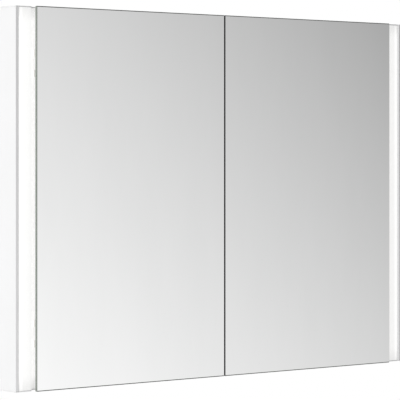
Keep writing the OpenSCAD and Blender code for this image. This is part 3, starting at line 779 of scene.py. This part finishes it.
# ---------------------------------------------------------------- eased edges on the CAD pieces
EASED = (                                         # width, segments, nodes
    (0.35 * MM, 2, ("light_housing_left", "light_housing_right", "collar_top", "collar_bottom",
                    "end_caps_left", "end_caps_right")),
    (0.4 * MM, 3, ("diffuser_left", "diffuser_right")),
    (0.6 * MM, 3, ("driver_box", "terminal_block", "led_plugs")),
    (0.3 * MM, 2, ("box_side_left", "box_side_right", "box_top", "box_bottom", "centre_divider")),
    (0.25 * MM, 2, ("hinge_arms_left", "hinge_arms_right", "hinge_leaves_left", "hinge_leaves_right")),
    (0.2 * MM, 2, ("back_panel", "driver_cover", "switch_board", "led_board_left", "led_board_right")),
)
for bevel_width, bevel_segments, eased_nodes in EASED:
    for node_name in eased_nodes:
        soften(node_name, bevel_width, bevel_segments)
for node_name in ("led_lead_left", "led_lead_right", "switch_lead"):
    weld(frame["nodes"][node_name], 0.02 * MM)    # closes the seams at the bends


# ---------------------------------------------------------------- stage, light and camera
def camera():
    """Level camera at the left, as far away and as long as the picture's perspective asks."""
    yaw = math.radians(40.58)
    forward = Vector((math.sin(yaw), math.cos(yaw), 0))
    right = Vector((math.cos(yaw), -math.sin(yaw), 0))
    corner = Vector((-DOOR_EDGE_X, DOOR_FRONT_Y, 0))
    along, aside, eye_height = 4.283, 0.2992, 0.0874    # from the middle of the left door's outer edge
    data = bpy.data.cameras.new("camera")
    data.lens = 209.88
    data.sensor_width = 36.0
    data.shift_y = -0.122
    data.clip_end = 100.0
    item = bpy.data.objects.new("camera", data)
    item.location = corner - along * forward + aside * right + Vector((0, 0, eye_height))
    item.rotation_euler = (math.radians(90), 0, -yaw)
    bpy.context.scene.collection.objects.link(item)
    bpy.context.scene.camera = item


def world():
    """White surroundings: plain white behind the object. What it lights is paler from above and greyer
    from below."""
    grey_below, pale_above = 0.78, 0.92
    lowest, highest = -0.6, 0.7                   # slope of the ray, as its Z, where each level is reached
    scene_world = bpy.data.worlds.new("studio")
    bpy.context.scene.world = scene_world
    scene_world.use_nodes = True
    nodes = scene_world.node_tree.nodes
    links = scene_world.node_tree.links
    nodes.clear()
    output = nodes.new("ShaderNodeOutputWorld")
    mix = nodes.new("ShaderNodeMixShader")
    backdrop = nodes.new("ShaderNodeBackground")
    backdrop.inputs["Color"].default_value = grey(1.0)
    room = nodes.new("ShaderNodeBackground")
    path = nodes.new("ShaderNodeLightPath")
    place = nodes.new("ShaderNodeTexCoord")
    split = nodes.new("ShaderNodeSeparateXYZ")
    links.new(place.outputs["Generated"], split.inputs[0])
    ramp = nodes.new("ShaderNodeMapRange")
    for socket, value in (("From Min", lowest), ("From Max", highest),
                          ("To Min", grey_below), ("To Max", pale_above)):
        ramp.inputs[socket].default_value = value
    links.new(split.outputs["Z"], ramp.inputs[0])
    links.new(ramp.outputs[0], room.inputs["Strength"])
    links.new(path.outputs["Is Camera Ray"], mix.inputs[0])
    links.new(room.outputs[0], mix.inputs[1])
    links.new(backdrop.outputs[0], mix.inputs[2])
    links.new(mix.outputs[0], output.inputs[0])


def staged_plane(name, corners, material):
    data = bpy.data.meshes.new(name)
    data.from_pydata(corners, [], [(0, 1, 2, 3)])
    data.materials.append(material)
    item = bpy.data.objects.new(name, data)
    bpy.context.scene.collection.objects.link(item)
    return item


def upright_card(name, finish, level, y, left, right, bottom, top):
    """A screen that gives off a level of light, and that only glossy surfaces show."""
    glow = finish.add("ShaderNodeEmission")
    finish.feed(glow.inputs["Strength"], level)
    finish.links.new(glow.outputs[0], finish.output.inputs[0])
    finish.nodes.remove(finish.shader)
    corners = [(left, y, bottom), (right, y, bottom), (right, y, top), (left, y, top)]
    item = staged_plane(name, corners, finish.material)
    item.visible_camera = False
    item.visible_diffuse = False
    item.visible_shadow = False
    item.visible_transmission = False


def gradient_card():
    """A big soft screen at the right front, which the mirrors show.
    It is bright at the lower left and grey at the upper right."""
    level_at_centre = 0.6771
    fall_right, fall_up = 0.18572, 0.21850        # per metre
    centre_x, centre_z = 2.1367, -0.0619
    brightest, darkest = 0.97, 0.30
    mirror_tint = 0.925
    finish = Finish("card")
    x_term = finish.maths("MULTIPLY", finish.maths("SUBTRACT", finish.axis("X"), centre_x), -fall_right)
    z_term = finish.maths("MULTIPLY", finish.maths("SUBTRACT", finish.axis("Z"), centre_z), -fall_up)
    level = finish.maths("ADD", finish.maths("ADD", x_term, z_term), level_at_centre)
    level = finish.maths("MAXIMUM", finish.maths("MINIMUM", level, brightest), darkest)
    level = finish.maths("DIVIDE", level, mirror_tint)
    upright_card("gradient_card", finish, level, y=-2.6, left=-1.5, right=5.5, bottom=-3.5, top=3.5)


def side_card():
    """A white screen at the left, behind the wall's plane, which the cabinet's side shows."""
    upright_card("side_card", Finish("side_card"), 1.32,
                 y=1.4, left=-6.0, right=-0.62, bottom=-3.0, top=3.0)


def floor():
    """A round pale floor well below the cabinet, fading out at its rim."""
    height = -1.25
    radius = 7.0
    fade_from, fade_to = 0.55 * radius, 0.98 * radius
    finish = Finish("floor", Roughness=0.7)
    mottle = finish.noise(3.0, 4.0, 0.5)
    finish.colour(finish.blend(finish.fit(mottle, 0.3, 0.7), grey(0.86), grey(0.89)))
    from_centre = finish.add("ShaderNodeVectorMath", finish.place, operation="LENGTH").outputs["Value"]
    rim = finish.fit(from_centre, fade_from, fade_to, 0.0, 1.0, "SMOOTHSTEP")
    clear = finish.add("ShaderNodeBsdfTransparent")
    mix = finish.add("ShaderNodeMixShader", rim, finish.shader.outputs[0], clear.outputs[0])
    finish.links.new(mix.outputs[0], finish.output.inputs[0])
    corners = [(-radius, -radius, height), (radius, -radius, height), (radius, radius, height),
               (-radius, radius, height)]
    staged_plane("floor", corners, finish.material)


def area_light(name, location, target, size, power):
    """A square soft light that looks at a target, unseen by the camera."""
    data = bpy.data.lights.new(name, "AREA")
    data.shape = "RECTANGLE"
    data.size = data.size_y = size
    data.energy = power
    item = bpy.data.objects.new(name, data)
    item.location = location
    item.rotation_euler = (Vector(target) - Vector(location)).to_track_quat("-Z", "Y").to_euler()
    bpy.context.scene.collection.objects.link(item)
    item.visible_camera = False


camera()
world()
gradient_card()
side_card()
floor()
area_light("left_wash", location=(-3.2, 1.2, 0.6), target=(-0.5, -0.1, 0), size=2.6, power=8)
area_light("key", location=(-1.5, -2.6, 2.6), target=(0, -0.1, 0), size=1.6, power=14)

scene = bpy.context.scene
scene.view_settings.view_transform = "Standard"
scene.view_settings.look = "None"
